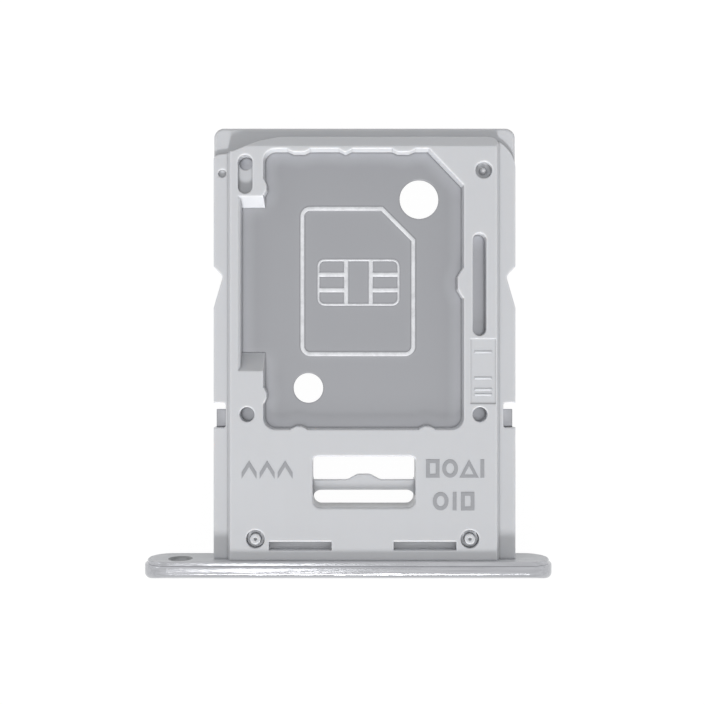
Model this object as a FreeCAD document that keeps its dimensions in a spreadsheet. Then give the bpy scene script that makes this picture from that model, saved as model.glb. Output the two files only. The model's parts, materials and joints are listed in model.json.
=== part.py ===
import FreeCAD, Part
import math
import os
import re
import Sketcher

# Card tray of a phone: a moulded carrier with an open pocket for a small card on top and one for
# a memory card below, a stamped steel plate moulded in between the two pockets, and a metal
# faceplate whose tongue is moulded into the foot of the carrier.
# Millimetres. X runs along the faceplate, Y from its inner face towards the nose of the tray and
# Z up, out of the small card's pocket. The pieces are drawn about the middle plane of the steel
# plate, and then all moved alike, so that the origin is at the bottom centre of the whole tray.

SIZES = (
    # The small card and its pocket
    ("card_wide", 8.80, "small card, across the tray"),
    ("card_long", 12.30, "small card, along the tray"),
    ("card_thick", 0.67, "small card, thickness"),
    ("card_play_wide", 0.02, "play beside the card, on each side"),
    ("card_play_long", 0.05, "play at each end of the card"),
    ("card_sink", 0.03, "how far the card lies below the rim of its pocket"),
    ("card_centre", 0.68, "X of the card's centre line"),
    ("card_foot", 5.86, "Y of the foot of the card's pocket"),
    ("card_cut_wide", 1.52, "cut corner of the pocket, across"),
    ("card_cut_long", 1.60, "cut corner of the pocket, along"),
    ("card_round", 0.50, "corner radius of the pocket"),
    ("pocket_draft", 3.0, "draft of the pocket walls, degrees"),
    # The memory card below
    ("store_wide", 11.00, "memory card, across"),
    ("store_long", 15.00, "memory card, along"),
    ("store_play", 0.03, "play round the memory card"),
    ("store_centre", 0.70, "X of the memory card's centre line"),
    ("store_round", 0.45, "corner radius of the memory card's pocket"),
    # The steel plate
    ("plate_thick", 0.15, "sheet thickness"),
    ("plate_back", 0.08, "how far the plate ends short of the window"),
    ("plate_cover", 0.48, "how far the plastic holds the plate beside the memory card"),
    ("plate_nose_cover", 0.16, "how far the plastic holds the plate at the nose"),
    ("plate_round", 0.60, "corner radius of the plate"),
    ("upper_hole_size", 1.76, "upper round hole, diameter"),
    ("upper_hole_right", 2.51, "upper hole, right of the card's centre line"),
    ("upper_hole_rise", 10.29, "upper hole, above the pocket's foot"),
    ("lower_hole_size", 1.34, "lower round hole, diameter"),
    ("lower_hole_left", 2.48, "lower hole, left of the card's centre line"),
    ("lower_hole_rise", 1.79, "lower hole, above the pocket's foot"),
    ("bead_wide", 0.18, "width of the stamped card outline"),
    ("bead_high", 0.05, "height of the stamped card outline"),
    ("bead_span", 4.995, "stamped card outline, across"),
    ("bead_length", 6.55, "stamped card outline, along"),
    ("bead_shift", 0.25, "stamped outline, left of the card's centre line"),
    ("bead_rise", 3.32, "stamped outline, above the pocket's foot"),
    ("bead_cut", 1.42, "cut corner of the stamped outline"),
    ("bead_round", 0.36, "corner radius of the stamped outline"),
    ("tab_high", 0.81, "width of the plate's side tabs"),
    ("tab_stand_back", 0.10, "how far the tabs end short of the flange's edge"),
    # The carrier's outline
    ("deck_side", 1.50, "deck beside the small card's pocket"),
    ("store_side", 0.35, "least deck beside the memory card's pocket"),
    ("flange_left", 0.79, "left flange, from the deck's edge"),
    ("flange_right", 0.89, "right flange, from the deck's edge"),
    ("flange_thick", 0.80, "thickness of the side flanges"),
    ("flange_edge", 0.06, "rounded edges of the flanges"),
    ("deck_lean", 0.16, "how far the deck's side walls lean out"),
    ("deck_edge", 0.05, "rounded edge along the deck's sides"),
    ("deck_corner_left", 0.45, "corner radius of the deck at the left of the nose"),
    ("deck_corner_right", 0.26, "corner radius of the deck at the right of the nose"),
    ("card_nose_wall", 0.61, "least wall between the small card's pocket and the ledge"),
    ("store_nose_wall", 0.27, "least wall between the memory card's pocket and the ledge"),
    ("nose_thick", 0.54, "thickness of the nose ledge"),
    ("nose_ledge", 0.45, "length of the nose ledge"),
    ("nose_slope", 0.46, "length of the slope before the ledge"),
    ("nose_drop", 0.19, "fall of that slope"),
    ("nose_corner", 0.44, "corner radius of the nose"),
    ("nose_edge", 0.13, "rounding of the nose's front edges"),
    ("sweep_start", 3.03, "left sweep of the deck: its start, from the flange's edge"),
    ("sweep_bend", 2.08, "its bend, from the flange's edge"),
    ("sweep_bend_fall", 0.19, "its bend, behind the nose wall"),
    ("sweep_bend_round", 2.0, "radius of its bend"),
    ("sweep_end", 0.93, "its end on the flange, from the flange's edge"),
    ("sweep_end_fall", 0.67, "its end, behind the nose wall"),
    ("sweep_end_round", 0.30, "radius at its end"),
    ("flange_head_fall", 0.79, "corner of the left flange, behind the nose wall"),
    ("flange_head_round", 0.32, "radius of that corner"),
    ("sweep_right", 1.46, "radius of the right sweep of deck and flange"),
    # Notches in the flanges
    ("detent_deep", 0.42, "depth of the two detent notches"),
    ("detent_top", 13.10, "Y of the upper end of the detents"),
    ("detent_apex", 12.64, "Y of the deepest point of the detents"),
    ("detent_foot", 11.23, "Y of the lower end of the detents"),
    ("detent_round", 0.22, "radius at the deepest point of the detents"),
    ("gap_foot", 5.89, "Y of the lower end of the tab gaps"),
    ("gap_high", 1.10, "length of the tab gaps"),
    ("gap_deep", 0.55, "depth of the tab gaps"),
    ("gap_round", 0.12, "inner radius of the tab gaps"),
    # Details of the card's pocket
    ("nub_rise", 0.11, "crush nubs, height"),
    ("nub_root", 0.05, "crush nubs, depth inside the wall"),
    ("nub_short", 0.06, "crush nubs, length of the shortest crest"),
    ("nub_middling", 0.22, "crush nubs, length of a middling crest"),
    ("nub_long", 0.50, "crush nubs, length of the longest crests"),
    ("nub_left", 2.88, "left crush nubs, left of the card's centre line"),
    ("nub_middle", 0.80, "middle crush nub, left of the card's centre line"),
    ("nub_head_right", 1.79, "right nub at the head, right of the centre line"),
    ("nub_foot_right", 2.82, "right nub at the foot, right of the centre line"),
    ("nub_side_upper", 10.74, "upper nub of the left wall, above the pocket's foot"),
    ("nub_side_lower", 1.48, "lower nub of the left wall, above the pocket's foot"),
    ("nub_slope", 0.24, "crush nubs, length of each ramp"),
    ("beam_wide", 0.43, "width of the spring beam beside the pocket"),
    ("beam_slot_wide", 0.60, "width of the slot behind the spring beam"),
    ("beam_slot_long", 4.56, "length of that slot"),
    ("beam_slot_foot", 4.13, "foot of that slot, above the pocket's foot"),
    ("catch_rise", 0.235, "height of the catch on the beam"),
    ("catch_long", 1.33, "length of the catch"),
    ("catch_crest", 0.57, "length of its crest"),
    ("catch_foot", 5.81, "foot of the catch, above the pocket's foot"),
    ("recess_wide", 1.05, "push recess at the left of the pocket, width at its floor"),
    ("recess_edge", 0.12, "chamfer of the recess's outer edge"),
    ("recess_foot", 3.41, "foot of its floor, above the pocket's foot"),
    ("recess_long", 6.49, "length of its floor"),
    ("recess_upper_ramp", 0.43, "length of its upper ramp"),
    ("recess_lower_ramp", 0.84, "length of its lower ramp"),
    # Small holes and marks in the deck
    ("pin_size", 0.66, "mould pin holes, diameter"),
    ("pin_spread", 10.34, "distance between the pin holes"),
    ("pin_rise", 0.64, "pin holes, above the pocket's foot"),
    ("key_wide", 0.65, "obround recess, width"),
    ("key_long", 1.74, "obround recess, length"),
    ("key_deep", 0.30, "obround recess, depth"),
    ("key_land", 0.01, "step round the deep hole in the obround recess"),
    ("key_left", 0.665, "obround recess, right of the deck's left edge"),
    ("key_back", 1.28, "upper end of the obround recess, behind the nose"),
    ("gate_size", 0.74, "moulding gate mark, diameter"),
    ("gate_deep", 0.32, "moulding gate mark, depth"),
    ("gate_dome", 0.16, "radius of the dome in the gate mark"),
    ("gate_left", 0.58, "gate mark, left of the deck's right edge"),
    ("gate_back", 1.97, "gate mark, behind the nose"),
    ("dot_size", 0.36, "small dimple in the left flange, diameter"),
    ("dot_deep", 0.12, "its depth"),
    ("dot_in", 0.39, "its distance from the flange's edge"),
    ("dot_back", 2.06, "its distance behind the nose"),
    ("panel_wide", 1.13, "shallow panel by the right edge, width"),
    ("panel_long", 2.88, "shallow panel, length"),
    ("panel_deep", 0.03, "shallow panel, depth"),
    ("panel_rise", 1.11, "shallow panel, above the pocket's foot"),
    ("panel_gap", 0.04, "shallow panel, left of the deck's edge"),
    # The window at the foot of the carrier
    ("window_wide", 4.56, "window, width"),
    ("window_centre", 0.70, "X of its middle"),
    ("window_head", 4.62, "Y of its upper edge"),
    ("window_foot", 2.36, "Y of its lower edge"),
    ("window_round", 0.20, "radius of its upper corners"),
    ("window_foot_round", 0.36, "corner radius of the slot below the bar"),
    ("bar_draft", 8.0, "draft of the bar's side towards the plate, degrees"),
    ("window_rim", 0.08, "rounding of the deck's edge round the window"),
    ("bar_long", 0.45, "width of the bar across the window"),
    ("bar_top", 0.25, "height of the bar above the middle plane"),
    ("bar_foot", 3.09, "Y of the bar's lower edge"),
    ("hump_rise", 0.25, "height of the bar's hump"),
    ("hump_base", 1.45, "length of the hump's base"),
    ("hump_crest", 0.57, "length of the hump's crest"),
    ("hump_round", 0.45, "radius of the hump's corners"),
    # The faceplate and its tongue
    ("face_long", 18.31, "faceplate, length"),
    ("face_high", 2.30, "faceplate, height"),
    ("face_deep", 0.88, "faceplate, depth at the middle of its crown"),
    ("face_crown", 0.26, "fall of the crown to the long edges"),
    ("face_front_edge", 0.27, "rounding of the front edge"),
    ("face_back_edge", 0.08, "rounding of the edge in front of the rim"),
    ("rim_deep", 0.18, "depth of the narrower rim at the inner side"),
    ("rim_inset", 0.12, "how far that rim stands back"),
    ("rim_edge", 0.05, "bevel of the rim's inner edge"),
    ("eject_size", 0.90, "eject hole, diameter"),
    ("eject_from_end", 1.62, "eject hole, from the faceplate's left end"),
    ("eject_rise", 0.24, "eject hole, above the middle plane"),
    ("eject_edge", 0.08, "chamfer of the eject hole on the inner side"),
    ("tongue_thick", 0.56, "thickness of the tongue"),
    ("tongue_side", 0.69, "tongue beyond the middle of each stake"),
    ("tongue_long", 1.50, "how far the tongue reaches into the carrier"),
    ("tongue_centre", 0.64, "X of the tongue's middle"),
    ("tongue_round", 0.30, "corner radius of the tongue"),
    ("stake_size", 0.47, "moulded stakes through the tongue, diameter"),
    ("stake_ring", 0.82, "ring round each stake, diameter"),
    ("stake_spread", 9.52, "distance between the stakes"),
    ("stake_rise", 0.97, "stakes, from the faceplate"),
    ("stake_dimple", 0.14, "dimple in each stake, diameter"),
    ("stake_dimple_deep", 0.06, "depth of that dimple"),
    ("slot_long", 2.79, "tongue slots, length"),
    ("slot_wide", 0.39, "tongue slots, width"),
    ("slot_land", 0.185, "plastic between a slot and the ring beside it"),
    ("slot_rise", 0.66, "tongue slots, from the faceplate"),
)

NAMES = {name for name, size, note in SIZES}
AXIS = FreeCAD.Vector(0, 0, 1)

# Lengths that follow from the sheet, written in its names
PLATE_HALF = "(plate_thick / 2)"
DECK = "(plate_thick / 2 + card_thick + card_sink)"
POCKET_LEFT = "(card_centre - card_wide / 2 - card_play_wide)"
POCKET_RIGHT = "(card_centre + card_wide / 2 + card_play_wide)"
POCKET_HEAD = "(card_foot + card_long + 2 * card_play_long)"
RECESS_LEFT = f"({POCKET_LEFT} - recess_wide)"
BAR_HEAD = "(bar_foot + bar_long)"
STORE_LEFT = "(store_centre - store_wide / 2 - store_play)"
STORE_RIGHT = "(store_centre + store_wide / 2 + store_play)"
STORE_HEAD = f"({BAR_HEAD} + store_long + 2 * store_play)"
PLATE_LEFT = f"({STORE_LEFT} - plate_cover)"
PLATE_RIGHT = f"({STORE_RIGHT} + plate_cover)"
PLATE_HEAD = f"({STORE_HEAD} + plate_nose_cover)"
DECK_LEFT = f"min({POCKET_LEFT} - deck_side; {STORE_LEFT} - store_side)"
DECK_RIGHT = f"max({POCKET_RIGHT} + deck_side; {STORE_RIGHT} + store_side)"
FLANGE_LEFT = f"({DECK_LEFT} - flange_left)"
FLANGE_RIGHT = f"({DECK_RIGHT} + flange_right)"
NOSE_WALL = f"max({POCKET_HEAD} + card_nose_wall; {STORE_HEAD} + store_nose_wall)"
CARRIER_HEAD = f"({NOSE_WALL} + nose_ledge)"
BEAM_SLOT = f"({POCKET_RIGHT} + beam_wide + beam_slot_wide / 2)"
EJECT_X = "(eject_from_end - face_long / 2)"
CROWN_REACH = "(0.65 * face_high)"
# Overshoots of a cut past the material, from large to small
BEYOND = "2"
SLIGHT = "0.3"
HAIR = "0.03"


def fill_sheet(doc):
    """The sheet of driving sizes: name, number, meaning."""
    sheet = doc.addObject("Spreadsheet::Sheet", "Sizes")
    for row, (name, size, note) in enumerate(SIZES, start=1):
        sheet.set(f"A{row}", name)
        sheet.set(f"B{row}", str(size))
        sheet.setAlias(f"B{row}", name)
        sheet.set(f"C{row}", note)
    doc.recompute()


def sized(text):
    """The text with each name of the sheet turned into a reference to its cell."""
    def refer(word):
        return f"Sizes.{word.group()}" if word.group() in NAMES else word.group()
    return re.sub(r"[A-Za-z_]\w*", refer, text)


def number(item, text):
    """What the text comes to now."""
    return float(item.evalExpression(sized(text)))


def add_sketch(body, name, role, level="0", across="0"):
    """A sketch on an origin plane of the body, moved along its normal and along its own X."""
    plane = next(item for item in body.Origin.OriginFeatures if item.Role == role)
    sketch = body.newObject("Sketcher::SketchObject", name)
    sketch.AttachmentSupport = [(plane, "")]
    sketch.MapMode = "FlatFace"
    sketch.setExpression("AttachmentOffset.Base.z", sized(level))
    sketch.setExpression("AttachmentOffset.Base.x", sized(across))
    return sketch


def constrain(sketch, kind, *where, to=None):
    """Add a constraint; one with a size is bound to the sheet."""
    if to is None:
        sketch.addConstraint(Sketcher.Constraint(kind, *where))
        return
    index = sketch.addConstraint(Sketcher.Constraint(kind, *where, number(sketch, to)))
    sketch.setExpression(f"Constraints[{index}]", sized(to))


def pin_point(sketch, geometry, end, across, along):
    """Hold one point of a geometry at its two distances from the sketch's origin."""
    constrain(sketch, "DistanceX", -1, 1, geometry, end, to=across)
    constrain(sketch, "DistanceY", -1, 1, geometry, end, to=along)


def add_circle(sketch, across, along, size):
    """A circle of a diameter."""
    centre = FreeCAD.Vector(number(sketch, across), number(sketch, along), 0)
    circle = sketch.addGeometry(Part.Circle(centre, AXIS, number(sketch, f"({size}) / 2")))
    pin_point(sketch, circle, 3, across, along)
    constrain(sketch, "Radius", circle, to=f"({size}) / 2")


def add_arc(sketch, centre, start, end):
    """An anticlockwise arc about a centre, from one point to another."""
    circle = Part.Circle(centre, AXIS, start.distanceToPoint(centre))
    angles = [math.atan2(spot.y - centre.y, spot.x - centre.x) for spot in (start, end)]
    return sketch.addGeometry(Part.ArcOfCircle(circle, *angles))


def add_outline(sketch, corners):
    """A closed outline of straight lines through corners (across, along) or (across, along, radius)."""
    count = len(corners)
    spots = [FreeCAD.Vector(number(sketch, c[0]), number(sketch, c[1]), 0) for c in corners]
    rounds = [number(sketch, c[2]) if len(c) > 2 else 0 for c in corners]
    ways = [(spots[(i + 1) % count] - spots[i]).normalize() for i in range(count)]
    turns = [math.atan2(ways[i - 1].cross(ways[i]).z, ways[i - 1].dot(ways[i])) for i in range(count)]
    backs = [rounds[i] * abs(math.tan(turns[i] / 2)) for i in range(count)]
    starts = [spots[i] - ways[i - 1] * backs[i] for i in range(count)]
    ends = [spots[i] + ways[i] * backs[i] for i in range(count)]
    lines = [sketch.addGeometry(Part.LineSegment(ends[i], starts[(i + 1) % count])) for i in range(count)]
    for i, corner in enumerate(corners):
        if rounds[i] == 0:
            constrain(sketch, "Coincident", lines[i - 1], 2, lines[i], 1)
            pin_point(sketch, lines[i], 1, corner[0], corner[1])
            continue
        side = math.copysign(1, turns[i])
        centre = starts[i] + AXIS.cross(ways[i - 1]) * side * rounds[i]
        leftward = side > 0
        arc = add_arc(sketch, centre, *((starts[i], ends[i]) if leftward else (ends[i], starts[i])))
        constrain(sketch, "Tangent", lines[i - 1], 2, arc, 1 if leftward else 2)
        constrain(sketch, "Tangent", lines[i], 1, arc, 2 if leftward else 1)
        constrain(sketch, "Radius", arc, to=corner[2])
        sharp = sketch.addGeometry(Part.Point(spots[i]), True)
        constrain(sketch, "PointOnObject", sharp, 1, lines[i - 1])
        constrain(sketch, "PointOnObject", sharp, 1, lines[i])
        pin_point(sketch, sharp, 1, corner[0], corner[1])


def add_box(sketch, left, foot, right, head, *rounding):
    """A rectangle, with all four corners rounded alike if a radius is given."""
    corners = ((left, foot), (right, foot), (right, head), (left, head))
    add_outline(sketch, [corner + rounding for corner in corners])


def add_obround(sketch, across, foot, head, size):
    """An upright obround between two heights, of a width."""
    half = number(sketch, f"({size}) / 2")
    middle = number(sketch, across)
    low = FreeCAD.Vector(middle, number(sketch, foot) + half, 0)
    high = FreeCAD.Vector(middle, number(sketch, head) - half, 0)
    aside = FreeCAD.Vector(half, 0, 0)
    right = sketch.addGeometry(Part.LineSegment(low + aside, high + aside))
    left = sketch.addGeometry(Part.LineSegment(high - aside, low - aside))
    top = add_arc(sketch, high, high + aside, high - aside)
    bottom = add_arc(sketch, low, low - aside, low + aside)
    for before, after in ((right, top), (top, left), (left, bottom), (bottom, right)):
        constrain(sketch, "Tangent", before, 2, after, 1)
    constrain(sketch, "Equal", top, bottom)
    constrain(sketch, "Radius", top, to=f"({size}) / 2")
    pin_point(sketch, top, 3, across, f"{head} - ({size}) / 2")
    pin_point(sketch, bottom, 3, across, f"{foot} + ({size}) / 2")


def add_feature(body, kind, name, sketch, length=None, side="One side", **settings):
    """A pad, pocket or groove of a sketch; one that changes no volume is an error."""
    before = body.Shape.Volume if body.Tip else 0
    feature = body.newObject(f"PartDesign::{kind}", name)
    feature.Profile = sketch
    if kind in ("Pad", "Pocket"):
        feature.SideType = side
    if length is not None:
        feature.setExpression("Length", sized(length))
    for setting, value in settings.items():
        if isinstance(value, str) and setting != "Type":
            feature.setExpression(setting, sized(value))
        else:
            setattr(feature, setting, value)
    body.Document.recompute()
    change = feature.Shape.Volume - before
    if (change > 0) != (kind == "Pad") or abs(change) < 1e-6:
        raise ValueError(f"{name} changes the volume by {change:.6f}")
    return feature


def mirror(body, name, feature):
    """The feature once more, below the middle plane."""
    mirrored = body.newObject("PartDesign::Mirrored", name)
    mirrored.Originals = [feature]
    plane = next(item for item in body.Origin.OriginFeatures if item.Role == "XY_Plane")
    mirrored.MirrorPlane = (plane, [""])
    body.Tip = mirrored
    body.Document.recompute()
    return mirrored


def dress(body, kind, name, size, chosen):
    """A fillet or chamfer on the edges that the test chooses."""
    base = body.Tip
    edges = [f"Edge{i}" for i, edge in enumerate(base.Shape.Edges, start=1) if chosen(edge)]
    feature = body.newObject(f"PartDesign::{kind}", name)
    feature.Base = (base, edges)
    feature.setExpression("Radius" if kind == "Fillet" else "Size", sized(size))
    body.Document.recompute()
    return feature


def add_body(doc, label):
    """A piece of its own, moved so that the origin is the tray's bottom centre."""
    body = doc.addObject("PartDesign::Body", label)
    body.Label = label
    body.setExpression("Placement.Base.y", sized(f"(face_deep - {CARRIER_HEAD}) / 2"))
    body.setExpression("Placement.Base.z", sized("face_high / 2"))
    return body


def plate_outline(sketch):
    """The steel plate's outline: a sheet with a tab on each side."""
    tab_left = f"{FLANGE_LEFT} + tab_stand_back"
    tab_right = f"{FLANGE_RIGHT} - tab_stand_back"
    tab_head = "gap_foot + tab_high"
    add_outline(sketch, [
        (PLATE_LEFT, "window_head + plate_back"),
        (PLATE_RIGHT, "window_head + plate_back"),
        (PLATE_RIGHT, "gap_foot"),
        (tab_right, "gap_foot"),
        (tab_right, tab_head),
        (PLATE_RIGHT, tab_head),
        (PLATE_RIGHT, PLATE_HEAD, "plate_round"),
        (PLATE_LEFT, PLATE_HEAD, "plate_round"),
        (PLATE_LEFT, tab_head),
        (tab_left, tab_head),
        (tab_left, "gap_foot"),
        (PLATE_LEFT, "gap_foot"),
    ])


def tongue_outline(sketch, foot):
    """The tongue of the faceplate from a foot to its end, with a hole for each stake."""
    left = "tongue_centre - stake_spread / 2 - tongue_side"
    right = "tongue_centre + stake_spread / 2 + tongue_side"
    add_outline(sketch, [
        (left, foot),
        (right, foot),
        (right, "tongue_long", "tongue_round"),
        (left, "tongue_long", "tongue_round"),
    ])
    for side in ("-", "+"):
        add_circle(sketch, f"tongue_centre {side} stake_spread / 2", "stake_rise", "stake_size")


def bead_outline(sketch, grow):
    """The stamped card outline, at a distance outside its centre line."""
    left = f"card_centre - bead_shift - bead_span / 2 - ({grow})"
    right = f"card_centre - bead_shift + bead_span / 2 + ({grow})"
    foot = f"card_foot + bead_rise - ({grow})"
    head = f"card_foot + bead_rise + bead_length + ({grow})"
    slant = f"(bead_cut + ({grow}) * {2 - math.sqrt(2):.6f})"
    rounding = f"bead_round + ({grow})"
    add_outline(sketch, [
        (left, foot, rounding),
        (right, foot, rounding),
        (right, f"{head} - {slant}"),
        (f"{right} - {slant}", head),
        (left, head, rounding),
    ])


def build_plate(doc):
    """The stamped steel plate between the two cards."""
    body = add_body(doc, "divider_plate")
    blank = add_sketch(body, "blank", "XY_Plane")
    plate_outline(blank)
    add_circle(blank, "card_centre + upper_hole_right", "card_foot + upper_hole_rise", "upper_hole_size")
    add_circle(blank, "card_centre - lower_hole_left", "card_foot + lower_hole_rise", "lower_hole_size")
    add_feature(body, "Pad", "sheet", blank, "plate_thick", side="Symmetric")
    for name, kind, level in (("bead", "Pad", PLATE_HALF), ("bead_hollow", "Pocket", f"-{PLATE_HALF}")):
        ring = add_sketch(body, f"{name}_line", "XY_Plane", level)
        bead_outline(ring, "bead_wide / 2")
        bead_outline(ring, "-bead_wide / 2")
        add_feature(body, kind, name, ring, "bead_high", Reversed=kind == "Pocket")
    return body


def build_faceplate(doc):
    """The metal faceplate: a crowned obround bar on a narrower rim, with an eject hole and a tongue."""
    body = add_body(doc, "faceplate")
    left = "-face_long / 2 + face_high / 2"
    right = "face_long / 2 - face_high / 2"
    bar = add_sketch(body, "bar_front", "XZ_Plane", "rim_deep")
    add_stadium(bar, left, right, "(face_high / 2)")
    add_feature(body, "Pad", "bar", bar, "face_deep - rim_deep")
    rim = add_sketch(body, "rim_front", "XZ_Plane")
    add_stadium(rim, left, right, "(face_high / 2 - rim_inset)")
    add_feature(body, "Pad", "rim", rim, "1.5 * rim_deep")

    crown = add_sketch(body, "crown_section", "YZ_Plane")
    add_crown(crown)
    add_feature(body, "Pocket", "crown", crown, side="Symmetric", Type="ThroughAll")

    depth = number(body, "face_deep")
    step = number(body, "rim_deep")
    outside = number(body, "face_high / 2 - rim_inset / 2")
    eject = number(body, EJECT_X)
    reach = number(body, f"eject_size / 2 + {HAIR}")

    def lies_at(edge, deep):
        return abs(edge.BoundBox.YMin + deep) < 1e-6 and abs(edge.BoundBox.YMax + deep) < 1e-6

    def is_front(edge):
        return edge.BoundBox.YMax < -depth / 2 and edge.BoundBox.XLength > 1e-3

    def is_back(edge):
        box = edge.BoundBox
        return lies_at(edge, step) and max(abs(box.ZMin), abs(box.ZMax)) > outside

    def is_hole_back(edge):
        box = edge.BoundBox
        return lies_at(edge, 0) and max(abs(box.XMin - eject), abs(box.XMax - eject)) < reach

    dress(body, "Fillet", "front_edge", "face_front_edge", is_front)
    dress(body, "Fillet", "back_edge", "face_back_edge", is_back)
    dress(body, "Chamfer", "rim_bevel", "rim_edge", lambda edge: lies_at(edge, 0))

    hole = add_sketch(body, "hole", "XZ_Plane")
    add_circle(hole, EJECT_X, "eject_rise", "eject_size")
    add_feature(body, "Pocket", "eject_hole", hole, Reversed=True, Type="ThroughAll")
    dress(body, "Chamfer", "hole_edge", "eject_edge", is_hole_back)

    tongue = add_sketch(body, "tongue_line", "XY_Plane")
    tongue_outline(tongue, "0")
    add_feature(body, "Pad", "tongue", tongue, "tongue_thick", side="Symmetric")
    return body


def add_stadium(sketch, left, right, half):
    """A lying obround between the centres of its two round ends."""
    radius = number(sketch, half)
    west = FreeCAD.Vector(number(sketch, left), 0, 0)
    east = FreeCAD.Vector(number(sketch, right), 0, 0)
    up = FreeCAD.Vector(0, radius, 0)
    bottom = sketch.addGeometry(Part.LineSegment(west - up, east - up))
    top = sketch.addGeometry(Part.LineSegment(east + up, west + up))
    end = add_arc(sketch, east, east - up, east + up)
    start = add_arc(sketch, west, west + up, west - up)
    for before, after in ((bottom, end), (end, top), (top, start), (start, bottom)):
        constrain(sketch, "Tangent", before, 2, after, 1)
    constrain(sketch, "Equal", start, end)
    constrain(sketch, "Radius", end, to=half)
    pin_point(sketch, end, 3, right, "0")
    pin_point(sketch, start, 3, left, "0")


def add_crown(sketch):
    """What lies in front of the faceplate's crown: an arc closed by three lines."""
    round_size = "((face_high / 2) ^ 2 + face_crown ^ 2) / (2 * face_crown)"
    depth = number(sketch, "face_deep")
    radius = number(sketch, round_size)
    reach = number(sketch, CROWN_REACH)
    edge = radius - depth - math.sqrt(radius ** 2 - reach ** 2)
    low = FreeCAD.Vector(edge, -reach, 0)
    high = FreeCAD.Vector(edge, reach, 0)
    out = FreeCAD.Vector(-depth, 0, 0)
    arc = add_arc(sketch, FreeCAD.Vector(radius - depth, 0, 0), high, low)
    lines = [
        sketch.addGeometry(Part.LineSegment(low, low + out)),
        sketch.addGeometry(Part.LineSegment(low + out, high + out)),
        sketch.addGeometry(Part.LineSegment(high + out, high)),
    ]
    constrain(sketch, "Coincident", arc, 2, lines[0], 1)
    constrain(sketch, "Coincident", lines[0], 2, lines[1], 1)
    constrain(sketch, "Coincident", lines[1], 2, lines[2], 1)
    constrain(sketch, "Coincident", lines[2], 2, arc, 1)
    constrain(sketch, "Horizontal", lines[0])
    constrain(sketch, "Vertical", lines[1])
    constrain(sketch, "Horizontal", lines[2])
    constrain(sketch, "Radius", arc, to=round_size)
    pin_point(sketch, arc, 3, f"{round_size} - face_deep", "0")
    constrain(sketch, "DistanceX", -1, 1, lines[1], 1, to="-2 * face_deep")
    constrain(sketch, "DistanceY", -1, 1, lines[0], 1, to=f"-{CROWN_REACH}")
    constrain(sketch, "DistanceY", -1, 1, lines[2], 2, to=CROWN_REACH)


def build_carrier_bar(body):
    """The long section of flanges and deck, drawn out from the faceplate to the nose wall."""
    section = add_sketch(body, "section", "XZ_Plane")
    flange = "flange_thick / 2"
    upper = [
        (FLANGE_RIGHT, flange, "flange_edge"),
        (f"{DECK_RIGHT} + deck_lean", flange),
        (DECK_RIGHT, DECK),
        (DECK_LEFT, DECK),
        (f"{DECK_LEFT} - deck_lean", flange),
        (FLANGE_LEFT, flange, "flange_edge"),
    ]
    lower = [(corner[0], f"-{corner[1]}") + corner[2:] for corner in reversed(upper)]
    add_outline(section, upper + lower)
    add_feature(body, "Pad", "rails_and_deck", section, NOSE_WALL, Reversed=True)


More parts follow.
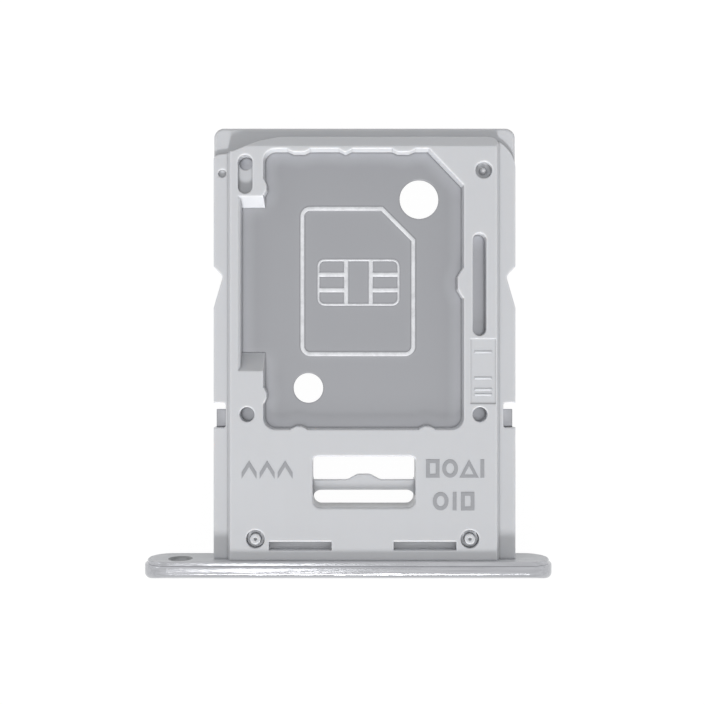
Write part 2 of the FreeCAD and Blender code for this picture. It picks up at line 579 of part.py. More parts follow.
def build_nose(body):
    """The nose: the sweeps of deck and flanges, the deck's slopes, and the thin ledge in front."""
    trim = add_sketch(body, "left_sweep", "XY_Plane")
    beside = f"{FLANGE_LEFT} - {HAIR}"
    below = f"{NOSE_WALL} - {BEYOND}"
    above = f"{NOSE_WALL} + {SLIGHT}"
    add_outline(trim, [
        (f"{FLANGE_LEFT} + sweep_start + {BEYOND}", above),
        (f"{FLANGE_LEFT} + sweep_start + {BEYOND}", NOSE_WALL),
        (f"{FLANGE_LEFT} + sweep_start", NOSE_WALL, "deck_corner_left"),
        (f"{FLANGE_LEFT} + sweep_bend", f"{NOSE_WALL} - sweep_bend_fall", "sweep_bend_round"),
        (f"{FLANGE_LEFT} + sweep_end", f"{NOSE_WALL} - sweep_end_fall", "sweep_end_round"),
        (beside, f"{NOSE_WALL} - flange_head_fall", "flange_head_round"),
        (beside, below),
        (f"{FLANGE_LEFT} - {BEYOND}", below),
        (f"{FLANGE_LEFT} - {BEYOND}", above),
    ])
    add_feature(body, "Pocket", "sweep_left", trim, side="Symmetric", Type="ThroughAll")
    trim = add_sketch(body, "right_sweep", "XY_Plane")
    add_sweep(trim, f"{FLANGE_RIGHT} - sweep_right", "sweep_right", 1, FLANGE_RIGHT)
    add_feature(body, "Pocket", "sweep_right_cut", trim, side="Symmetric", Type="ThroughAll")

    slope = add_sketch(body, "slope_section", "YZ_Plane")
    add_outline(slope, [
        (f"{NOSE_WALL} - nose_slope", DECK),
        (f"{NOSE_WALL}", f"{DECK} - nose_drop"),
        (f"{NOSE_WALL} + {SLIGHT}", f"{DECK} - nose_drop"),
        (f"{NOSE_WALL} + {SLIGHT}", f"{DECK} + {SLIGHT}"),
        (f"{NOSE_WALL} - nose_slope", f"{DECK} + {SLIGHT}"),
    ])
    cut = add_feature(body, "Pocket", "nose_slope", slope, side="Symmetric", Type="ThroughAll")
    mirror(body, "nose_slope_below", cut)

    high = number(body, DECK)
    low = number(body, "flange_thick / 2")
    wall = number(body, NOSE_WALL)
    side = number(body, f"{DECK_RIGHT} - deck_corner_right")

    def is_right_corner(edge):
        box = edge.BoundBox
        upright = box.ZLength > (high - low) / 2 and min(abs(box.ZMin), abs(box.ZMax)) > low - 1e-4
        return upright and box.YMin > wall - (high + low) and box.XMin > side

    def is_deck_side(edge):
        box = edge.BoundBox
        flat = box.ZLength < 1e-4 and abs(abs(box.ZMin) - high) < 1e-4
        return flat and box.YLength > 0.1 * wall

    dress(body, "Fillet", "corner_right", "deck_corner_right", is_right_corner)
    dress(body, "Fillet", "deck_edges", "deck_edge", is_deck_side)

    ledge = add_sketch(body, "ledge_outline", "XY_Plane")
    add_outline(ledge, [
        (FLANGE_LEFT, below),
        (FLANGE_RIGHT, below),
        (FLANGE_RIGHT, CARRIER_HEAD, "nose_corner"),
        (FLANGE_LEFT, CARRIER_HEAD, "nose_corner"),
    ])
    add_feature(body, "Pad", "ledge", ledge, "nose_thick", side="Symmetric")
    reach = number(body, CARRIER_HEAD)
    corner = number(body, "nose_corner")

    def is_front_rim(edge):
        box = edge.BoundBox
        return box.ZLength < 1e-6 and box.YMax > reach - 1e-4 and box.YMin > reach - corner - 1e-4

    dress(body, "Fillet", "nose_rim", "nose_edge", is_front_rim)


def add_sweep(sketch, start, radius, side, edge):
    """What lies outside a sweep that leaves the nose wall and runs down to a flange's edge."""
    size = number(sketch, radius)
    centre = FreeCAD.Vector(number(sketch, start), number(sketch, NOSE_WALL) - size, 0)
    outer = number(sketch, edge) + side * number(sketch, HAIR)
    along = min(abs(outer - centre.x), size)
    fall = centre.y + math.sqrt(max(size ** 2 - along ** 2, 0))
    first = FreeCAD.Vector(centre.x, centre.y + size, 0)
    last = FreeCAD.Vector(centre.x + side * along, fall, 0)
    head = first.y + number(sketch, SLIGHT)
    far = number(sketch, edge) + side * number(sketch, BEYOND)
    spots = [
        last,
        FreeCAD.Vector(far, last.y, 0),
        FreeCAD.Vector(far, head, 0),
        FreeCAD.Vector(first.x, head, 0),
        first,
    ]
    arc = add_arc(sketch, centre, *((last, first) if side > 0 else (first, last)))
    lines = [sketch.addGeometry(Part.LineSegment(a, b)) for a, b in zip(spots, spots[1:])]
    constrain(sketch, "Coincident", arc, 1 if side > 0 else 2, lines[0], 1)
    for before, after in zip(lines, lines[1:]):
        constrain(sketch, "Coincident", before, 2, after, 1)
    constrain(sketch, "Coincident", lines[3], 2, arc, 2 if side > 0 else 1)
    constrain(sketch, "Horizontal", lines[0])
    constrain(sketch, "Vertical", lines[1])
    constrain(sketch, "Horizontal", lines[2])
    constrain(sketch, "Vertical", lines[3])
    constrain(sketch, "Radius", arc, to=radius)
    pin_point(sketch, arc, 3, start, f"{NOSE_WALL} - {radius}")
    constrain(sketch, "DistanceX", -1, 1, lines[3], 1, to=start)
    constrain(sketch, "DistanceY", -1, 1, lines[2], 1, to=f"{NOSE_WALL} + {SLIGHT}")
    way = "+" if side > 0 else "-"
    constrain(sketch, "DistanceX", -1, 1, lines[1], 1, to=f"{edge} {way} {BEYOND}")
    reach = f"abs({edge} {way} {HAIR} - ({start}))"
    drop = f"{NOSE_WALL} - {radius} + sqrt(max(({radius}) ^ 2 - ({reach}) ^ 2; 0))"
    constrain(sketch, "DistanceY", -1, 1, lines[0], 1, to=drop)


def build_notches(body):
    """Detents and tab gaps, alike in both flanges."""
    notches = add_sketch(body, "notch_outlines", "XY_Plane")
    for edge, inwards, outwards in ((FLANGE_LEFT, "+", "-"), (FLANGE_RIGHT, "-", "+")):
        out = f"{edge} {outwards} {SLIGHT}"
        add_outline(notches, [
            (out, "detent_top"),
            (edge, "detent_top"),
            (f"{edge} {inwards} detent_deep", "detent_apex", "detent_round"),
            (edge, "detent_foot"),
            (out, "detent_foot"),
        ])
        inner = f"{edge} {inwards} gap_deep"
        add_outline(notches, [
            (out, "gap_foot"),
            (inner, "gap_foot", "gap_round"),
            (inner, "gap_foot + gap_high", "gap_round"),
            (out, "gap_foot + gap_high"),
        ])
    add_feature(body, "Pocket", "notches", notches, side="Symmetric", Type="ThroughAll")


def build_card_pocket(body):
    """The small card's pocket, its push recess, crush nubs, catch and spring beam."""
    floor = add_sketch(body, "pocket_floor", "XY_Plane", PLATE_HALF)
    add_outline(floor, [
        (POCKET_LEFT, "card_foot", "card_round"),
        (POCKET_RIGHT, "card_foot", "card_round"),
        (POCKET_RIGHT, f"{POCKET_HEAD} - card_cut_long"),
        (f"{POCKET_RIGHT} - card_cut_wide", POCKET_HEAD),
        (POCKET_LEFT, POCKET_HEAD, "card_round"),
    ])
    depth = f"{DECK} - {PLATE_HALF}"
    add_feature(body, "Pocket", "card_pocket", floor, depth, Reversed=True, TaperAngle="pocket_draft")

    recess = add_sketch(body, "recess_section", "YZ_Plane", RECESS_LEFT)
    foot = "card_foot + recess_foot"
    head = f"{foot} + recess_long"
    add_outline(recess, [
        (foot, PLATE_HALF),
        (head, PLATE_HALF),
        (f"{head} + recess_upper_ramp", DECK),
        (f"{head} + recess_upper_ramp", f"{DECK} + {SLIGHT}"),
        (f"{foot} - recess_lower_ramp", f"{DECK} + {SLIGHT}"),
        (f"{foot} - recess_lower_ramp", DECK),
    ])
    add_feature(body, "Pocket", "push_recess", recess, f"recess_wide + {SLIGHT}", Reversed=True)
    outer = number(body, RECESS_LEFT)
    rim = number(body, DECK)

    def is_outer_rim(edge):
        box = edge.BoundBox
        return max(abs(box.XMin - outer), abs(box.XMax - outer), abs(box.ZMin - rim)) < 1e-4

    dress(body, "Chamfer", "recess_rim", "recess_edge", is_outer_rim)

    nubs = add_sketch(body, "nub_outlines", "XY_Plane", PLATE_HALF)
    add_nub(nubs, "card_centre - nub_left", "nub_long", POCKET_HEAD, "-")
    add_nub(nubs, "card_centre - nub_middle", "nub_short", POCKET_HEAD, "-")
    add_nub(nubs, "card_centre + nub_head_right", "nub_long", POCKET_HEAD, "-")
    add_nub(nubs, "card_centre - nub_left", "nub_middling", "card_foot", "+")
    add_nub(nubs, "card_centre + nub_foot_right", "nub_middling", "card_foot", "+")
    add_nub(nubs, "card_foot + nub_side_upper", "nub_middling", POCKET_LEFT, "+", turned=True)
    add_nub(nubs, "card_foot + nub_side_lower", "nub_middling", POCKET_LEFT, "+", turned=True)
    add_feature(body, "Pad", "crush_nubs", nubs, depth)

    catch = add_sketch(body, "catch_outline", "XY_Plane", PLATE_HALF)
    slant = "(catch_long - catch_crest) / 2"
    low = "card_foot + catch_foot"
    crest = f"{POCKET_RIGHT} - catch_rise"
    root = f"{POCKET_RIGHT} + beam_wide / 2"
    add_outline(catch, [
        (root, low),
        (POCKET_RIGHT, low),
        (crest, f"{low} + {slant}"),
        (crest, f"{low} + catch_long - {slant}"),
        (POCKET_RIGHT, f"{low} + catch_long"),
        (root, f"{low} + catch_long"),
    ])
    add_feature(body, "Pad", "catch", catch, depth)

    slot = add_sketch(body, "beam_slot_outline", "XY_Plane", PLATE_HALF)
    slot_foot = "card_foot + beam_slot_foot"
    add_obround(slot, BEAM_SLOT, slot_foot, f"{slot_foot} + beam_slot_long", "beam_slot_wide")
    add_feature(body, "Pocket", "beam_slot", slot, f"{depth} + {SLIGHT}", Reversed=True)


def add_nub(sketch, centre, crest, wall, inwards, turned=False):
    """One crush nub on a wall of the pocket, from inside the wall; turned, on a side wall."""
    outwards = "-" if inwards == "+" else "+"
    half = f"({crest} / 2 + nub_slope)"
    root = f"{wall} {outwards} nub_root"
    edge = f"{wall} {inwards} nub_rise"
    corners = [
        (f"{centre} - {half}", root),
        (f"{centre} - {half}", wall),
        (f"{centre} - {crest} / 2", edge),
        (f"{centre} + {crest} / 2", edge),
        (f"{centre} + {half}", wall),
        (f"{centre} + {half}", root),
    ]
    add_outline(sketch, [corner[::-1] for corner in corners] if turned else corners)


def add_gate_section(sketch):
    """Half the section of the gate mark about its upright axis: a flat ring with a dome inside."""
    rim = number(sketch, "gate_size / 2")
    dome = number(sketch, "gate_dome")
    floor = number(sketch, f"{DECK} - gate_deep")
    top = number(sketch, f"{DECK} + {SLIGHT}")
    spots = [FreeCAD.Vector(across, up, 0) for across, up in (
        (0, floor + dome), (0, top), (rim, top), (rim, floor), (dome, floor),
    )]
    lines = [sketch.addGeometry(Part.LineSegment(a, b)) for a, b in zip(spots, spots[1:])]
    arc = add_arc(sketch, FreeCAD.Vector(0, floor, 0), spots[-1], spots[0])
    for before, after in zip(lines, lines[1:] + [arc]):
        constrain(sketch, "Coincident", before, 2, after, 1)
    constrain(sketch, "Coincident", arc, 2, lines[0], 1)
    for way, line in zip(("Vertical", "Horizontal", "Vertical", "Horizontal"), lines):
        constrain(sketch, way, line)
    pin_point(sketch, arc, 3, "0", f"{DECK} - gate_deep")
    constrain(sketch, "Radius", arc, to="gate_dome")
    constrain(sketch, "DistanceX", -1, 1, lines[0], 1, to="0")
    constrain(sketch, "DistanceX", -1, 1, lines[2], 1, to="gate_size / 2")
    constrain(sketch, "DistanceY", -1, 1, lines[1], 1, to=f"{DECK} + {SLIGHT}")
    constrain(sketch, "DistanceY", -1, 1, lines[3], 1, to=f"{DECK} - gate_deep")


def build_deck_details(body):
    """Recesses, pin holes and marks in the deck and the left flange."""
    to_plate = f"{DECK} - {PLATE_HALF}"
    key_head = f"({CARRIER_HEAD} - key_back)"
    key_middle = f"{DECK_LEFT} + key_left"
    key = add_sketch(body, "key_outline", "XY_Plane", DECK)
    add_obround(key, key_middle, f"{key_head} - key_long", key_head, "key_wide")
    add_feature(body, "Pocket", "key_recess", key, "key_deep")

    holes = add_sketch(body, "pin_outlines", "XY_Plane", DECK)
    add_circle(holes, key_middle, f"{key_head} - key_wide / 2", "key_wide - 2 * key_land")
    for side in ("-", "+"):
        add_circle(holes, f"card_centre {side} pin_spread / 2", "card_foot + pin_rise", "pin_size")
    add_feature(body, "Pocket", "pin_holes", holes, to_plate)

    behind = f"gate_back - {CARRIER_HEAD}"
    gate = add_sketch(body, "gate_section", "XZ_Plane", behind, f"{DECK_RIGHT} - gate_left")
    add_gate_section(gate)
    axis = (gate, ["V_Axis"])
    add_feature(body, "Groove", "gate_mark", gate, ReferenceAxis=axis, Angle=360)

    dot = add_sketch(body, "dot_outline", "XY_Plane", "flange_thick / 2")
    add_circle(dot, f"{FLANGE_LEFT} + dot_in", f"{CARRIER_HEAD} - dot_back", "dot_size")
    add_feature(body, "Pocket", "flange_dot", dot, "dot_deep")

    panel = add_sketch(body, "panel_outline", "XY_Plane", DECK)
    right = f"{DECK_RIGHT} - panel_gap"
    foot = "card_foot + panel_rise"
    add_box(panel, f"{right} - panel_wide", foot, right, f"{foot} + panel_long")
    add_feature(body, "Pocket", "panel", panel, "panel_deep")


def build_window(body):
    """The window with its bar, and the memory card's pocket that the bar closes below."""
    left = "window_centre - window_wide / 2"
    right = "window_centre + window_wide / 2"
    hump_slant = "(hump_base - hump_crest) / 2"
    hump_left = "window_centre - hump_base / 2"
    hump_right = "window_centre + hump_base / 2"
    upper = add_sketch(body, "window_upper", "XY_Plane")
    add_outline(upper, [
        (left, BAR_HEAD),
        (right, BAR_HEAD),
        (right, "window_head", "window_round"),
        (left, "window_head", "window_round"),
    ])
    add_feature(body, "Pocket", "window_above_bar", upper, side="Symmetric", Type="ThroughAll")

    side = add_sketch(body, "bar_side", "YZ_Plane", left)
    add_outline(side, [
        (BAR_HEAD, "0"),
        (f"{BAR_HEAD} - {DECK} * tan(bar_draft)", f"-{DECK}"),
        (f"{BAR_HEAD} + {HAIR}", f"-{DECK}"),
        (f"{BAR_HEAD} + {HAIR}", "0"),
    ])
    add_feature(body, "Pocket", "bar_relief", side, "window_wide", Reversed=True)

    lower = add_sketch(body, "window_lower", "XY_Plane")
    add_box(lower, left, "window_foot", right, "bar_foot", "window_foot_round")
    add_feature(body, "Pocket", "window_below_bar", lower, side="Symmetric", Type="ThroughAll")

    gap = add_sketch(body, "bar_gap", "XY_Plane", "bar_top")
    add_box(gap, left, "window_foot + window_foot_round", right, f"{BAR_HEAD} + hump_rise + {SLIGHT}")
    add_feature(body, "Pocket", "bar_step", gap, f"{DECK} - bar_top + {SLIGHT}", Reversed=True)

    hump = add_sketch(body, "hump_outline", "XY_Plane")
    add_outline(hump, [
        (left, f"{BAR_HEAD} - bar_long / 2"),
        (right, f"{BAR_HEAD} - bar_long / 2"),
        (right, BAR_HEAD),
        (hump_right, BAR_HEAD, "hump_round"),
        (f"{hump_right} - {hump_slant}", f"{BAR_HEAD} + hump_rise", "hump_round"),
        (f"{hump_left} + {hump_slant}", f"{BAR_HEAD} + hump_rise", "hump_round"),
        (hump_left, BAR_HEAD, "hump_round"),
        (left, BAR_HEAD),
    ])
    add_feature(body, "Pad", "hump", hump, "bar_top")

    rim = number(body, DECK)
    foot = number(body, "window_foot")

    def is_window_rim(edge):
        box = edge.BoundBox
        return box.ZMin > rim - 1e-4 and abs(box.YMin - foot) < 1e-4 and box.YMax < foot + 1e-4

    dress(body, "Fillet", "window_edge", "window_rim", is_window_rim)

    store = add_sketch(body, "store_outline", "XY_Plane", f"-{PLATE_HALF}")
    add_outline(store, [
        (STORE_LEFT, BAR_HEAD),
        (STORE_RIGHT, BAR_HEAD),
        (STORE_RIGHT, STORE_HEAD, "store_round"),
        (STORE_LEFT, STORE_HEAD, "store_round"),
    ])
    add_feature(body, "Pocket", "store_pocket", store, f"{DECK} - {PLATE_HALF}")


def build_seats(body):
    """The cavities that the steel plate and the tongue fill, and what opens onto the tongue."""
    cavity = add_sketch(body, "plate_seat", "XY_Plane")
    plate_outline(cavity)
    add_feature(body, "Pocket", "plate_cavity", cavity, "plate_thick", side="Symmetric")

    tongue = add_sketch(body, "tongue_seat", "XY_Plane")
    tongue_outline(tongue, "0")
    add_feature(body, "Pocket", "tongue_cavity", tongue, "tongue_thick", side="Symmetric")

    to_tongue = f"{DECK} - tongue_thick / 2"
    rings = add_sketch(body, "ring_outlines", "XY_Plane", DECK)
    slots = add_sketch(body, "slot_outlines", "XY_Plane", DECK)
    dimples = add_sketch(body, "dimple_outlines", "XY_Plane", DECK)
    slot_middle = "(stake_spread / 2 - stake_ring / 2 - slot_land - slot_long / 2)"
    for side in ("-", "+"):
        stake = f"tongue_centre {side} stake_spread / 2"
        slot = f"tongue_centre {side} {slot_middle}"
        add_circle(rings, stake, "stake_rise", "stake_ring")
        add_circle(rings, stake, "stake_rise", "stake_size")
        add_circle(dimples, stake, "stake_rise", "stake_dimple")
        add_box(slots, f"{slot} - slot_long / 2", "slot_rise - slot_wide / 2",
                f"{slot} + slot_long / 2", "slot_rise + slot_wide / 2")
    add_feature(body, "Pocket", "stake_rings", rings, to_tongue)
    add_feature(body, "Pocket", "tongue_slots", slots, to_tongue)
    add_feature(body, "Pocket", "stake_dimples", dimples, "stake_dimple_deep")


def build_carrier(doc):
    """The moulded carrier."""
    body = add_body(doc, "carrier_frame")
    build_carrier_bar(body)
    build_nose(body)
    build_notches(body)
    build_card_pocket(body)
    build_deck_details(body)
    build_window(body)
    build_seats(body)
    return body


def check(doc, bodies):
    """Stop on any object that failed and on any piece that is not one valid solid."""
    for item in doc.Objects:
        if {"Invalid", "Error"} & set(item.State):
            raise ValueError(f"{item.Name} failed: {item.State}")
    for body in bodies:
        if body.Shape.isNull() or not body.Shape.isValid() or len(body.Shape.Solids) != 1:
            raise ValueError(f"{body.Label} is not one valid solid")


def main():
    doc = FreeCAD.newDocument("card_tray")
    fill_sheet(doc)
    bodies = [build_plate(doc), build_faceplate(doc), build_carrier(doc)]
    doc.recompute()
    check(doc, bodies)
    os.makedirs("parts", exist_ok=True)
    for body in bodies:
        body.Shape.exportStep(f"parts/{body.Label}.step")
        box = body.Shape.BoundBox
        size = f"{box.XLength:.2f} x {box.YLength:.2f} x {box.ZLength:.2f}"
        print(f"{body.Label}: {body.Shape.Volume:.3f} mm3, {size}")


main()
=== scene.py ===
"""Looks of a phone's card tray: finishes for its three pieces, the marks on them, and the stage."""

import json
import math

import bmesh
import bpy
from mathutils import Matrix, Vector


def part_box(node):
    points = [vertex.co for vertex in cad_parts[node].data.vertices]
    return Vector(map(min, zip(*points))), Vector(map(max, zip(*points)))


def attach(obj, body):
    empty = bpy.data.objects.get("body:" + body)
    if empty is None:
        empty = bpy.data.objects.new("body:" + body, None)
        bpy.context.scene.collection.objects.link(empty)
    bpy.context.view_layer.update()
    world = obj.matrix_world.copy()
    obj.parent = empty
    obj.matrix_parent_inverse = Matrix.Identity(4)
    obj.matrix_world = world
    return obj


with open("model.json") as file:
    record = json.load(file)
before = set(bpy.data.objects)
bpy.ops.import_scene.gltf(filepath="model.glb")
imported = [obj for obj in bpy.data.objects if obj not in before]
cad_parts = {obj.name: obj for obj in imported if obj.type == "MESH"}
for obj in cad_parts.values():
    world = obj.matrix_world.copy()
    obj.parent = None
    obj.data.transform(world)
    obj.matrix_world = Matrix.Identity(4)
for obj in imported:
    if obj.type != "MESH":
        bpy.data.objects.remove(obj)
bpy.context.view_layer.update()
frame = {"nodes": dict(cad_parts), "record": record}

bl_info = {
    "name": "Phone Card Tray",
    "version": (1, 0, 0),
    "blender": (4, 5, 0),
    "location": "View3D > Sidebar > Card Tray",
    "description": "Dresses and lights a phone's card tray on its construction model",
    "category": "Object",
}

BODY = "root"
MM = 0.001
CARRIER_LOW, CARRIER_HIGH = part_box("carrier_frame")
FACE_LOW, FACE_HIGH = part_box("faceplate")
FACE_INNER = CARRIER_LOW.y
EJECT = next(mount for mount in frame["record"]["mounts"] if mount["name"] == "eject_hole")

# The steel sheet, 0.15 mm thick, and the tongue, 0.56 mm, lie about the middle plane.
MIDDLE = (FACE_LOW.z + FACE_HIGH.z) / 2
SHEET_TOP = MIDDLE + 0.075 * MM
TONGUE_TOP = MIDDLE + 0.28 * MM
DECK = CARRIER_HIGH.z
PANEL = DECK - 0.04 * MM

# Middle of the two stakes that pass through the tongue, and how far apart they stand.
STAKES = Vector((0.64, -8.25)) * MM
STAKE_SPREAD = 9.52 * MM

# Plain signs on the deck's right half: across and along the tray in millimetres, and kind.
DECK_SIGNS = (
    (3.75, -5.12, "square"), (4.52, -5.12, "circle"), (5.36, -5.12, "triangle"), (5.95, -5.12, "bar"),
    (4.10, -6.57, "circle"), (4.72, -6.57, "bar"), (5.30, -6.57, "square"),
)

# How deep added pieces reach into what carries them, and the rounding of their upper edges.
ROOT = 0.02 * MM
PRINT_ROOT = 0.01 * MM
SOFT_TOP = 0.03 * MM

# Rays that the bevel and occlusion nodes send from each point.
SAMPLES = 8


def srgb(red, green, blue):
    """A colour written in 0 to 255, as the linear colour that Blender works with."""
    def linear(level):
        share = level / 255
        return share / 12.92 if share <= 0.04045 else ((share + 0.055) / 1.055) ** 2.4
    return tuple(linear(level) for level in (red, green, blue)) + (1.0,)


class TrayColours(bpy.types.PropertyGroup):
    carrier: bpy.props.FloatVectorProperty(
        name="Carrier", description="Colour of the moulded plastic",
        subtype="COLOR", size=4, min=0, max=1, default=srgb(204, 205, 208))
    plate: bpy.props.FloatVectorProperty(
        name="Plate", description="Colour of the satin steel sheet",
        subtype="COLOR", size=4, min=0, max=1, default=srgb(163, 164, 168))
    stamped: bpy.props.FloatVectorProperty(
        name="Stamped lines", description="Colour of the coined lines on the sheet",
        subtype="COLOR", size=4, min=0, max=1, default=srgb(228, 229, 232))
    faceplate: bpy.props.FloatVectorProperty(
        name="Faceplate", description="Colour of the polished metal",
        subtype="COLOR", size=4, min=0, max=1, default=srgb(181, 182, 186))
    unpolished: bpy.props.FloatVectorProperty(
        name="Unpolished metal", description="Colour of the tongue and of the eject hole's bore",
        subtype="COLOR", size=4, min=0, max=1, default=srgb(213, 214, 217))
    print: bpy.props.FloatVectorProperty(
        name="Print", description="Colour of the marks printed on the deck",
        subtype="COLOR", size=4, min=0, max=1, default=srgb(150, 151, 155))


class TraySizes(bpy.types.PropertyGroup):
    edge: bpy.props.FloatProperty(
        name="Soft edge", description="Rounding of the moulded edges",
        default=0.11 * MM, unit="LENGTH", precision=6)
    emblem_x: bpy.props.FloatProperty(
        name="Emblem X", description="Middle of the contact emblem, along the faceplate",
        default=0.46 * MM, unit="LENGTH", precision=6)
    emblem_y: bpy.props.FloatProperty(
        name="Emblem Y", description="Middle of the contact emblem, towards the nose",
        default=3.19 * MM, unit="LENGTH", precision=6)
    emblem_wide: bpy.props.FloatProperty(
        name="Emblem width", description="Width of the contact emblem",
        default=3.70 * MM, unit="LENGTH", precision=6)
    emblem_high: bpy.props.FloatProperty(
        name="Emblem height", description="Height of the contact emblem",
        default=2.10 * MM, unit="LENGTH", precision=6)
    emblem_line: bpy.props.FloatProperty(
        name="Emblem line", description="Width of the emblem's lines",
        default=0.20 * MM, unit="LENGTH", precision=6)
    emblem_rise: bpy.props.FloatProperty(
        name="Emblem rise", description="Height of the emblem's lines above the sheet",
        default=0.05 * MM, unit="LENGTH", precision=6)
    collar_size: bpy.props.FloatProperty(
        name="Collar size", description="Diameter of the metal collar round each stake",
        default=0.80 * MM, unit="LENGTH", precision=6)
    collar_wall: bpy.props.FloatProperty(
        name="Collar wall", description="Thickness of the collars",
        default=0.155 * MM, unit="LENGTH", precision=6)
    collar_sunk: bpy.props.FloatProperty(
        name="Collar depth", description="How far the collars stay below the deck",
        default=0.25 * MM, unit="LENGTH", precision=6)
    mark_high: bpy.props.FloatProperty(
        name="Mark height", description="Height of the signs printed on the deck",
        default=0.82 * MM, unit="LENGTH", precision=6)
    mark_line: bpy.props.FloatProperty(
        name="Mark line", description="Width of the lines of the printed signs",
        default=0.17 * MM, unit="LENGTH", precision=6)
    print_thick: bpy.props.FloatProperty(
        name="Print thickness", description="How far the print stands on the deck",
        default=0.008 * MM, unit="LENGTH", precision=6)


class TrayStage(bpy.types.PropertyGroup):
    camera_x: bpy.props.FloatProperty(
        name="Camera X", description="Place of the camera, along the faceplate",
        default=0.19 * MM, unit="LENGTH", precision=6)
    camera_y: bpy.props.FloatProperty(
        name="Camera Y", description="Place of the camera, towards the nose",
        default=0.03 * MM, unit="LENGTH", precision=6)
    camera_rise: bpy.props.FloatProperty(
        name="Camera height", description="Camera above the middle plane of the tray",
        default=45 * MM, unit="LENGTH", precision=4)
    lens: bpy.props.FloatProperty(
        name="Lens", description="Focal length in millimetres", default=50.9)
    key_rise: bpy.props.FloatProperty(
        name="Key elevation", description="How high the key light stands, from the faceplate's side",
        default=math.radians(28.5), subtype="ANGLE")
    key_size: bpy.props.FloatProperty(
        name="Key size", description="Angle that the key light spans",
        default=math.radians(8), subtype="ANGLE")
    key_level: bpy.props.FloatProperty(
        name="Key level", description="Strength of the key light", default=2.58)
    shine_rise: bpy.props.FloatProperty(
        name="Shine elevation", description="How high the light stands that shows only in reflections",
        default=math.radians(44), subtype="ANGLE")
    shine_size: bpy.props.FloatProperty(
        name="Shine size", description="Angle that the light for reflections spans",
        default=math.radians(12), subtype="ANGLE")
    shine_level: bpy.props.FloatProperty(
        name="Shine level", description="Strength of the light for reflections", default=0.65)
    glint_turn: bpy.props.FloatProperty(
        name="Glint light turn", description="Way to the small light, from the faceplate's long axis",
        default=math.radians(135), subtype="ANGLE")
    glint_rise: bpy.props.FloatProperty(
        name="Glint light elevation", description="How high the small light stands",
        default=math.radians(20), subtype="ANGLE")
    glint_size: bpy.props.FloatProperty(
        name="Glint light size", description="Angle that the small light spans",
        default=math.radians(5), subtype="ANGLE")
    glint_level: bpy.props.FloatProperty(
        name="Glint light level", description="Strength of the small light", default=0.15)
    low_rise: bpy.props.FloatProperty(
        name="Low light elevation", description="How high the light on the faceplate's side stands",
        default=math.radians(9), subtype="ANGLE")
    low_size: bpy.props.FloatProperty(
        name="Low light size", description="Angle that the low light spans",
        default=math.radians(12), subtype="ANGLE")
    low_level: bpy.props.FloatProperty(
        name="Low light level", description="Strength of the low light", default=0.70)
    top_turn: bpy.props.FloatProperty(
        name="Top light turn", description="Way to the top light, from the faceplate's long axis",
        default=math.radians(-115), subtype="ANGLE")
    top_rise: bpy.props.FloatProperty(
        name="Top light elevation", description="How high the top light stands",
        default=math.radians(78), subtype="ANGLE")
    top_size: bpy.props.FloatProperty(
        name="Top light size", description="Angle that the top light spans",
        default=math.radians(5), subtype="ANGLE")
    top_level: bpy.props.FloatProperty(
        name="Top light level", description="Strength of the top light", default=0.045)
    sky_level: bpy.props.FloatProperty(
        name="Sky level", description="Strength of the light from all round", default=0.548)
    floor_glow: bpy.props.FloatProperty(
        name="Floor glow", description="Share of white that the floor shows in its own shadow",
        default=0.975, subtype="FACTOR")
    floor_shade: bpy.props.FloatProperty(
        name="Floor shade", description="How strongly the rest of white takes the tray's shadow",
        default=2.2)


class Value:
    """A number in a node tree; sums on it add Math nodes."""

    def __init__(self, nodes, socket):
        self.nodes = nodes
        self.socket = socket

    def maths(self, operation, *terms, **settings):
        """A Math node on numbers and sockets."""
        sockets = dict(enumerate(terms))
        return self.nodes.add("ShaderNodeMath", sockets, operation=operation, **settings)

    def __add__(self, other):
        return self.maths("ADD", self, other)

    def __radd__(self, other):
        return self.maths("ADD", other, self)

    def __sub__(self, other):
        return self.maths("SUBTRACT", self, other)

    def __rsub__(self, other):
        return self.maths("SUBTRACT", other, self)

    def __mul__(self, other):
        return self.maths("MULTIPLY", self, other)

    def __rmul__(self, other):
        return self.maths("MULTIPLY", other, self)

    def __gt__(self, other):
        return self.maths("GREATER_THAN", self, other)

    def __lt__(self, other):
        return self.maths("LESS_THAN", self, other)

    def either(self, other):
        """The larger of two numbers; of two masks, where either is 1."""
        return self.maths("MAXIMUM", self, other)

    def clamped(self):
        """The number kept between 0 and 1."""
        return self.maths("ADD", self, 0.0, use_clamp=True)


class Nodes:
    """A node tree, and the one way in which nodes come into it."""

    def __init__(self, tree):
        self.tree = tree
        tree.nodes.clear()

    def add(self, kind, sockets=None, output=0, stops=None, **settings):
        """A node with its settings and ramp stops, then its sockets' values and links."""
        node = self.tree.nodes.new(kind)
        for name, setting in settings.items():
            setattr(node, name, setting)
        for index, (place, level) in enumerate(stops or ()):
            ramp = node.color_ramp.elements
            stop = ramp[index] if index < len(ramp) else ramp.new(place)
            stop.position = place
            stop.color = (level, level, level, 1)
        for name, given in (sockets or {}).items():
            if isinstance(given, Value):
                self.tree.links.new(given.socket, node.inputs[name])
            else:
                node.inputs[name].default_value = given
        return Value(self, node.outputs[output]) if node.outputs else node


